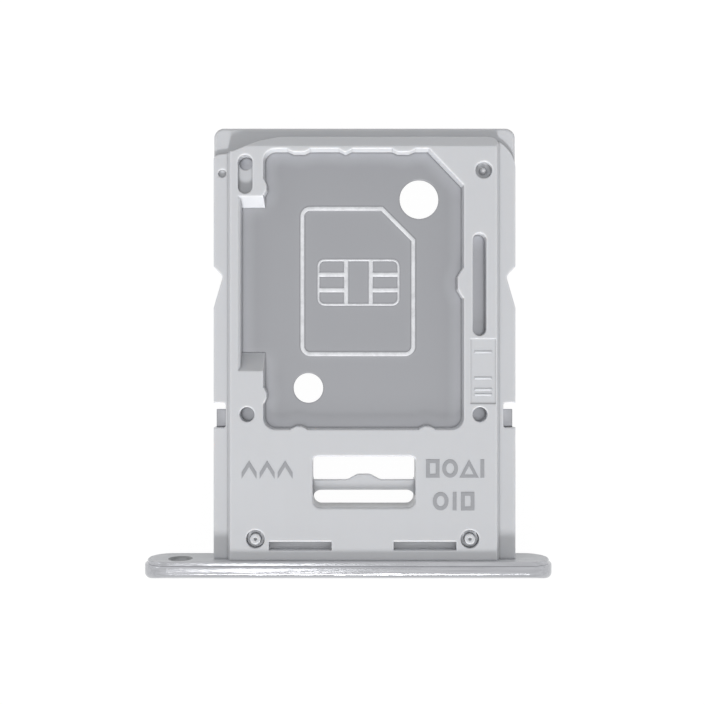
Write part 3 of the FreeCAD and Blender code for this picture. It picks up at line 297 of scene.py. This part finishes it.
class Finish(Nodes):
    """A material on Object coordinates counted in millimetres."""

    def __init__(self, name):
        self.material = bpy.data.materials.new(name)
        self.material.use_nodes = True
        super().__init__(self.material.node_tree)
        spot = self.add("ShaderNodeTexCoord", output="Object")
        self.place = self.add("ShaderNodeVectorMath", {0: spot, "Scale": 1 / MM}, operation="SCALE")

    def stretched(self, across, along, up):
        """The place with each axis counted at its own scale."""
        scales = (across, along, up)
        return self.add("ShaderNodeVectorMath", {0: self.place, 1: scales}, operation="MULTIPLY")

    def noise(self, place, scale, detail=2.0, rough=0.5):
        """A cloudy number about 0.5."""
        return self.add("ShaderNodeTexNoise", {
            "Vector": place, "Scale": scale, "Detail": detail, "Roughness": rough,
        }, output="Fac")

    def along(self, axis):
        """How far a point lies along X, Y or Z, in millimetres."""
        return self.add("ShaderNodeSeparateXYZ", {0: self.place}, output=axis)

    def within(self, middle, radius, flat=(1, 1, 0)):
        """1 inside a cylinder about a place given in metres, across the axes that flat keeps."""
        centre = tuple(way / MM for way in middle)
        away = self.add("ShaderNodeVectorMath", {0: self.place, 1: centre}, operation="SUBTRACT")
        level = self.add("ShaderNodeVectorMath", {0: away, 1: flat}, operation="MULTIPLY")
        reach = self.add("ShaderNodeVectorMath", {0: level}, output="Value", operation="LENGTH")
        return radius > reach

    def blend(self, factor, first, second):
        """One colour turning into another."""
        return self.add("ShaderNodeMix", {0: factor, 6: first, 7: second}, output=2, data_type="RGBA")

    def shade(self, colour, share):
        """A colour, darkened or lightened by a number near 1."""
        return self.add("ShaderNodeVectorMath", {0: colour, "Scale": share}, operation="SCALE")

    def open_to(self, reach, inside=False):
        """Ambient occlusion for painted shade and light in base colours: 1 on open faces, less within
        reach of corners; with inside, of an outer edge.
        """
        return self.add("ShaderNodeAmbientOcclusion", {
            "Distance": reach,
        }, output="AO", samples=SAMPLES, inside=inside)

    def relief(self, level, depth, radius):
        """The normal of a surface with soft edges and a fine relief, both in metres."""
        edge = self.add("ShaderNodeBevel", {"Radius": radius}, samples=SAMPLES)
        return self.add("ShaderNodeBump", {
            "Strength": 1.0, "Distance": depth, "Height": level, "Normal": edge,
        })

    def close(self, **sockets):
        """The surface shader, with its sockets named in words."""
        named = {
            name.replace("_", " ").title().replace("Ior", "IOR"): given
            for name, given in sockets.items()
        }
        surface = self.add("ShaderNodeBsdfPrincipled", named)
        self.add("ShaderNodeOutputMaterial", {"Surface": surface})
        return self.material


def moulded_plastic(scene):
    """Pale grey plastic with the fine grain of an eroded mould, with painted shade in its corners and
    painted highlights along its edges.
    """
    finish = Finish("moulded_plastic")
    colour = finish.add("ShaderNodeRGB")
    colour.socket.default_value = scene.tray_colours.carrier
    cloud = finish.noise(finish.place, 0.3)
    grain = finish.noise(finish.place, 16, detail=3)
    flow = finish.noise(finish.stretched(1.5, 0.25, 1.5), 1, detail=1)
    # Painted shade: occlusion darkens the colour near corners and creases. Painted highlight:
    # occlusion of outer edges lightens the colour along rims.
    painted_corner_shade = 1 - finish.open_to(0.12 * MM)
    painted_rim_highlight = 1 - finish.open_to(0.09 * MM, inside=True)
    share = (0.975 + 0.03 * cloud + 0.02 * flow) * (1 - 0.55 * painted_corner_shade) * (1 + 0.5 * painted_rim_highlight)
    return finish.close(
        base_color=finish.shade(colour, share),
        roughness=0.30 + 0.08 * grain,
        ior=1.6,
        subsurface_weight=0.3,
        subsurface_radius=(1.0, 0.9, 0.8),
        subsurface_scale=0.3 * MM,
        normal=finish.relief(grain, 0.0012 * MM, scene.tray_sizes.edge),
    )


def satin_steel(scene):
    """Sheet with a fine lengthwise brushing; its stamped lines are coined bright. Painted shade
    darkens it near walls and painted light brightens it where walls stand close, as in pin holes.
    """
    finish = Finish("satin_steel")
    colours = scene.tray_colours
    brushed = finish.noise(finish.stretched(22, 0.6, 22), 1, detail=3)
    cloud = finish.noise(finish.place, 0.25)
    coined = finish.along("Z") > (SHEET_TOP / MM + 0.02)
    mottle = finish.noise(finish.place, 2.5, detail=5, rough=0.7)
    base = finish.blend(coined * (0.25 + 1.3 * mottle), colours.plate, colours.stamped)
    # Painted shade: occlusion darkens the sheet near walls. Painted light: occlusion over 0.7 mm
    # lightens it where walls stand close, as in pin holes and slots.
    painted_corner_shade = 1 - finish.open_to(0.10 * MM)
    painted_recess_light = 1 - finish.open_to(0.70 * MM)
    share = (0.94 + 0.05 * brushed + 0.04 * cloud) * (1 - 0.8 * painted_corner_shade) * (1 + 0.8 * painted_recess_light)
    return finish.close(
        base_color=finish.shade(base, share),
        metallic=0.95 - 0.6 * coined,
        roughness=0.48 + 0.12 * brushed,
        normal=finish.relief(brushed, 0.0006 * MM, scene.tray_sizes.edge),
    )


def polished_metal(scene):
    """Plated metal, polished along the faceplate, left satin on the tongue and in the bore; painted
    reflection streaks lighten the faceplate and painted shade darkens the bore.
    """
    finish = Finish("polished_metal")
    colours = scene.tray_colours
    hairline = finish.noise(finish.stretched(0.35, 30, 30), 1, detail=4)
    # Painted reflection: broad lengthwise streaks lighten the base colour, standing in for broken
    # reflections along the faceplate.
    painted_reflection_streak = finish.noise(finish.stretched(0.45, 9, 9), 1, detail=3)
    ripple = finish.noise(finish.stretched(1.0, 8, 8), 1)
    tongue = finish.along("Y") > (FACE_INNER / MM - 0.02)
    bore = finish.within(EJECT["pos_m"], EJECT["dims"]["r_mm"] + 0.10, flat=(1, 0, 1))
    satin = tongue.either(bore)
    inward = (4 * (finish.along("Y") - (FACE_LOW.y / MM + 0.12))).clamped()
    base = finish.blend(satin, colours.faceplate, colours.unpolished)
    # Painted shade: the colour is halved inside the eject hole's bore, whose mask also makes the bore
    # satin.
    share = (0.72 + 0.08 * hairline + 0.45 * painted_reflection_streak) * (1 - 0.5 * bore)
    waves = (inward * ripple + 0.05 * hairline) * (1 - satin)
    return finish.close(
        base_color=finish.shade(base, share),
        metallic=1.0 - 0.85 * satin,
        roughness=0.14 + 0.06 * hairline + 0.3 * satin,
        normal=finish.relief(waves, 0.010 * MM, scene.tray_sizes.edge / 2.5),
    )


def printed_grey(scene):
    """Grey marking ink, uneven at the scale of the plastic's grain."""
    finish = Finish("printed_grey")
    mottle = finish.noise(finish.place, 9, detail=4, rough=0.7)
    grain = finish.noise(finish.place, 16, detail=3)
    colours = scene.tray_colours
    return finish.close(
        base_color=finish.blend(0.3 * mottle, colours.print, colours.carrier),
        roughness=0.55 + 0.1 * grain,
        normal=finish.relief(grain, 0.002 * MM, scene.tray_sizes.edge / 4),
    )


def dress(node, material):
    """Give a piece of the construction model its finish."""
    slots = frame["nodes"][node].data.materials
    slots.clear()
    slots.append(material)


def add_piece(name, bm, material):
    """A finished piece from its bmesh, riding with the tray."""
    bmesh.ops.recalc_face_normals(bm, faces=bm.faces)
    mesh = bpy.data.meshes.new(name)
    bm.to_mesh(mesh)
    bm.free()
    mesh.materials.append(material)
    piece = bpy.data.objects.new(name, mesh)
    bpy.context.scene.collection.objects.link(piece)
    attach(piece, BODY)
    return piece


def raise_faces(bm, rise, edge):
    """Pull flat faces up into a slab whose upper edges are rounded."""
    flat = list(bm.faces)
    pulled = bmesh.ops.extrude_face_region(bm, geom=flat)["geom"]
    top = [item for item in pulled if isinstance(item, bmesh.types.BMFace)]
    corners = {vert for face in top for vert in face.verts}
    bmesh.ops.translate(bm, verts=list(corners), vec=(0, 0, rise))
    rims = [
        item for item in bm.edges
        if all(vert in corners for vert in item.verts)
        and any(face not in top for face in item.link_faces)
    ]
    bmesh.ops.bevel(bm, geom=rims, offset=edge, segments=3, profile=0.5, affect="EDGES", material=-1)


def contact_lines(bm, wide, high, line):
    """The lines of a chip's contact field: a wide middle pad between two columns of three."""
    bmesh.ops.create_grid(bm, x_segments=3, y_segments=3, size=0.5)
    bmesh.ops.scale(bm, vec=(wide, high, 1), verts=bm.verts)
    inner = [vert for vert in bm.verts if abs(vert.co.x) < 0.4 * wide]
    bmesh.ops.scale(bm, vec=(0.9, 1, 1), verts=inner)
    middle = [face for face in bm.faces if abs(face.calc_center_median().x) < 0.1 * wide]
    bmesh.ops.dissolve_faces(bm, faces=middle, use_verts=False)
    outer = [vert for vert in bm.verts if len(vert.link_edges) == 2]
    bmesh.ops.bevel(
        bm, geom=outer, offset=1.6 * line, segments=5, profile=0.5, affect="VERTICES", material=-1)
    pads = list(bm.faces)
    bmesh.ops.inset_individual(bm, faces=pads, thickness=line / 2, use_even_offset=True)
    bmesh.ops.delete(bm, geom=pads, context="FACES")


def outline_sign(bm, middle, sides, wide, high, line, turn=0.0):
    """A closed line round a middle: a circle, or a polygon with the given number of sides."""
    made = bmesh.ops.create_circle(bm, cap_ends=True, segments=sides, radius=0.5)["verts"]
    bmesh.ops.rotate(bm, verts=made, matrix=Matrix.Rotation(turn, 3, "Z"))
    least = Vector(map(min, zip(*(vert.co for vert in made))))
    most = Vector(map(max, zip(*(vert.co for vert in made))))
    span = most - least
    bmesh.ops.translate(bm, verts=made, vec=-(least + most) / 2)
    bmesh.ops.scale(bm, vec=(wide / span.x, high / span.y, 1), verts=made)
    bmesh.ops.translate(bm, verts=made, vec=middle)
    face = made[0].link_faces[0]
    bmesh.ops.inset_individual(bm, faces=[face], thickness=line, use_even_offset=True)
    bmesh.ops.delete(bm, geom=[face], context="FACES")


def bar_sign(bm, middle, wide, high):
    """A plain bar."""
    made = bmesh.ops.create_grid(bm, x_segments=1, y_segments=1, size=0.5)["verts"]
    bmesh.ops.scale(bm, vec=(wide, high, 1), verts=made)
    bmesh.ops.translate(bm, verts=made, vec=middle)


def chevron_sign(bm, middle, wide, high, line):
    """A chevron that points to the nose of the tray."""
    half = wide / 2
    upright = 1.7 * line
    drop = high - upright
    spots = ((-half, -drop), (0, 0), (half, -drop), (half, -high), (0, -upright), (-half, -high))
    verts = [bm.verts.new((x, y + high / 2, 0)) for x, y in spots]
    bm.faces.new(verts)
    bmesh.ops.translate(bm, verts=verts, vec=middle)


class TRAY_OT_pieces(bpy.types.Operator):
    """Finishes of the carrier, the plate and the faceplate."""
    bl_idname = "card_tray.pieces"
    bl_label = "Finishes"

    def execute(self, context):
        dress("carrier_frame", moulded_plastic(context.scene))
        dress("divider_plate", satin_steel(context.scene))
        dress("faceplate", polished_metal(context.scene))
        return {"FINISHED"}


class TRAY_OT_emblem(bpy.types.Operator):
    """Contact field stamped on the steel plate."""
    bl_idname = "card_tray.emblem"
    bl_label = "Contact emblem"

    def execute(self, context):
        sizes = context.scene.tray_sizes
        bm = bmesh.new()
        contact_lines(bm, sizes.emblem_wide, sizes.emblem_high, sizes.emblem_line)
        raise_faces(bm, ROOT + sizes.emblem_rise, SOFT_TOP)
        bmesh.ops.translate(bm, verts=bm.verts, vec=(sizes.emblem_x, sizes.emblem_y, SHEET_TOP - ROOT))
        add_piece("contact_emblem", bm, frame["nodes"]["divider_plate"].data.materials[0])
        return {"FINISHED"}


class TRAY_OT_collars(bpy.types.Operator):
    """Collars that the tongue's metal forms round the two stakes, just below the deck."""
    bl_idname = "card_tray.collars"
    bl_label = "Stake collars"

    def execute(self, context):
        sizes = context.scene.tray_sizes
        bm = bmesh.new()
        for side in (-1, 1):
            spot = (STAKES.x + side * STAKE_SPREAD / 2, STAKES.y, 0)
            outline_sign(bm, spot, 48, sizes.collar_size, sizes.collar_size, sizes.collar_wall)
        rise = DECK - sizes.collar_sunk - TONGUE_TOP
        raise_faces(bm, ROOT + rise, SOFT_TOP)
        bmesh.ops.translate(bm, verts=bm.verts, vec=(0, 0, TONGUE_TOP - ROOT))
        add_piece("stake_collars", bm, frame["nodes"]["faceplate"].data.materials[0])
        return {"FINISHED"}


class TRAY_OT_marks(bpy.types.Operator):
    """Plain signs printed on the deck, and the small bars on its shallow panel."""
    bl_idname = "card_tray.marks"
    bl_label = "Deck marks"

    def execute(self, context):
        self.print_signs(context.scene)
        self.add_panel_bars()
        return {"FINISHED"}

    def print_signs(self, scene):
        sizes = scene.tray_sizes
        high, line = sizes.mark_high, sizes.mark_line
        bm = bmesh.new()
        for across in (-4.40, -3.60, -2.80):
            chevron_sign(bm, (across * MM, -5.17 * MM, 0), 0.66 * MM, high, line)
        for across, row, kind in DECK_SIGNS:
            spot = (across * MM, row * MM, 0)
            if kind == "square":
                outline_sign(bm, spot, 4, 0.60 * MM, high, line, turn=math.pi / 4)
            elif kind == "circle":
                outline_sign(bm, spot, 24, 0.70 * MM, high, line)
            elif kind == "triangle":
                outline_sign(bm, spot, 3, 0.86 * MM, high, 0.8 * line)
            else:
                bar_sign(bm, spot, line, high)
        raise_faces(bm, PRINT_ROOT + sizes.print_thick, sizes.print_thick / 2)
        bmesh.ops.translate(bm, verts=bm.verts, vec=(0, 0, DECK - PRINT_ROOT))
        add_piece("deck_marks", bm, printed_grey(scene))

    def add_panel_bars(self):
        rise = 0.024 * MM
        bm = bmesh.new()
        for row in (0.05, -1.11, -1.61, -1.84):
            bar_sign(bm, (5.99 * MM, row * MM, 0), 0.78 * MM, 0.12 * MM)
        raise_faces(bm, rise, rise / 2)
        bmesh.ops.translate(bm, verts=bm.verts, vec=(0, 0, PANEL))
        add_piece("panel_bars", bm, frame["nodes"]["carrier_frame"].data.materials[0])


def shown_to_eye(nodes):
    """1 for what the camera sees, also by way of metal or glass."""
    camera = nodes.add("ShaderNodeLightPath", output="Is Camera Ray")
    glossy = nodes.add("ShaderNodeLightPath", output="Is Glossy Ray")
    through = nodes.add("ShaderNodeLightPath", output="Is Transmission Ray")
    return camera.either(glossy).either(through)


class TRAY_OT_stage(bpy.types.Operator):
    """Camera, lamps, sky and floor."""
    bl_idname = "card_tray.stage"
    bl_label = "Stage"

    def execute(self, context):
        stage = context.scene.tray_stage
        self.add_camera(context, stage)
        self.add_lamps(context, stage)
        self.add_sky(context, stage)
        self.add_floor(context, stage)
        return {"FINISHED"}

    def add_camera(self, context, stage):
        data = bpy.data.cameras.new("camera")
        data.lens = stage.lens
        data.clip_start = 1 * MM
        camera = bpy.data.objects.new("camera", data)
        camera.location = (stage.camera_x, stage.camera_y, MIDDLE + stage.camera_rise)
        context.scene.collection.objects.link(camera)
        context.scene.camera = camera

    def add_lamps(self, context, stage):
        front = -math.pi / 2
        lamps = (
            ("key_light", stage.key_level, stage.key_rise, front, stage.key_size, True, False),
            ("shine_light", stage.shine_level, stage.shine_rise, front, stage.shine_size, False, True),
            ("low_light", stage.low_level, stage.low_rise, front, stage.low_size, True, False),
            ("top_light", stage.top_level, stage.top_rise, stage.top_turn, stage.top_size, True, True),
            ("glint_light", stage.glint_level, stage.glint_rise, stage.glint_turn,
             stage.glint_size, True, True),
        )
        for name, level, rise, turn, size, on_surfaces, in_reflections in lamps:
            data = bpy.data.lights.new(name, "SUN")
            data.energy = level
            data.angle = size
            lamp = bpy.data.objects.new(name, data)
            level_way = Vector((math.cos(turn), math.sin(turn), 0))
            way = math.cos(rise) * level_way + Vector((0, 0, math.sin(rise)))
            lamp.rotation_euler = way.to_track_quat("Z", "Y").to_euler()
            lamp.location = way * 100 * MM
            lamp.visible_diffuse = on_surfaces
            lamp.visible_glossy = in_reflections
            context.scene.collection.objects.link(lamp)

    def add_sky(self, context, stage):
        world = bpy.data.worlds.new("sky")
        world.use_nodes = True
        nodes = Nodes(world.node_tree)
        light = nodes.add("ShaderNodeBackground", {
            "Color": (0.98, 0.99, 1.0, 1.0), "Strength": stage.sky_level,
        })
        white = nodes.add("ShaderNodeBackground", {"Color": (1, 1, 1, 1), "Strength": 1.0})
        both = nodes.add("ShaderNodeMixShader", {0: shown_to_eye(nodes), 1: light, 2: white})
        nodes.add("ShaderNodeOutputWorld", {"Surface": both})
        context.scene.world = world

    def add_floor(self, context, stage):
        bm = bmesh.new()
        bmesh.ops.create_grid(bm, x_segments=1, y_segments=1, size=500 * MM)
        mesh = bpy.data.meshes.new("floor")
        bm.to_mesh(mesh)
        bm.free()
        material = bpy.data.materials.new("pale_floor")
        material.use_nodes = True
        nodes = Nodes(material.node_tree)
        glow = nodes.add("ShaderNodeEmission", {"Color": (1, 1, 1, 1), "Strength": stage.floor_glow})
        rest = stage.floor_shade * (1 - stage.floor_glow)
        shade = nodes.add("ShaderNodeBsdfDiffuse", {"Color": (rest, rest, rest, 1)})
        lit = nodes.add("ShaderNodeAddShader", {0: glow, 1: shade})
        plain = nodes.add("ShaderNodeBsdfDiffuse", {"Color": (0.8, 0.8, 0.8, 1)})
        both = nodes.add("ShaderNodeMixShader", {0: shown_to_eye(nodes), 1: plain, 2: lit})
        nodes.add("ShaderNodeOutputMaterial", {"Surface": both})
        mesh.materials.append(material)
        floor = bpy.data.objects.new("floor", mesh)
        context.scene.collection.objects.link(floor)


class TRAY_PT_panel(bpy.types.Panel):
    """Colours, sizes and stage of the tray, and the operators that make it."""
    bl_idname = "TRAY_PT_panel"
    bl_label = "Card Tray"
    bl_space_type = "VIEW_3D"
    bl_region_type = "UI"
    bl_category = "Card Tray"

    def draw(self, context):
        scene = context.scene
        for group in (scene.tray_colours, scene.tray_sizes, scene.tray_stage):
            box = self.layout.box()
            for name in group.__annotations__:
                box.prop(group, name)
        for operator in OPERATORS:
            self.layout.operator(operator.bl_idname)


OPERATORS = (TRAY_OT_pieces, TRAY_OT_emblem, TRAY_OT_collars, TRAY_OT_marks, TRAY_OT_stage)
CLASSES = (TrayColours, TraySizes, TrayStage) + OPERATORS + (TRAY_PT_panel,)


def register():
    for item in CLASSES:
        bpy.utils.register_class(item)
    bpy.types.Scene.tray_colours = bpy.props.PointerProperty(type=TrayColours)
    bpy.types.Scene.tray_sizes = bpy.props.PointerProperty(type=TraySizes)
    bpy.types.Scene.tray_stage = bpy.props.PointerProperty(type=TrayStage)


def unregister():
    del bpy.types.Scene.tray_stage
    del bpy.types.Scene.tray_sizes
    del bpy.types.Scene.tray_colours
    for item in reversed(CLASSES):
        bpy.utils.unregister_class(item)


def main():
    register()
    for operator in OPERATORS:
        category, name = operator.bl_idname.split(".")
        getattr(getattr(bpy.ops, category), name)()
    bpy.context.scene.view_settings.view_transform = "Standard"


if __name__ == "__main__":
    main()
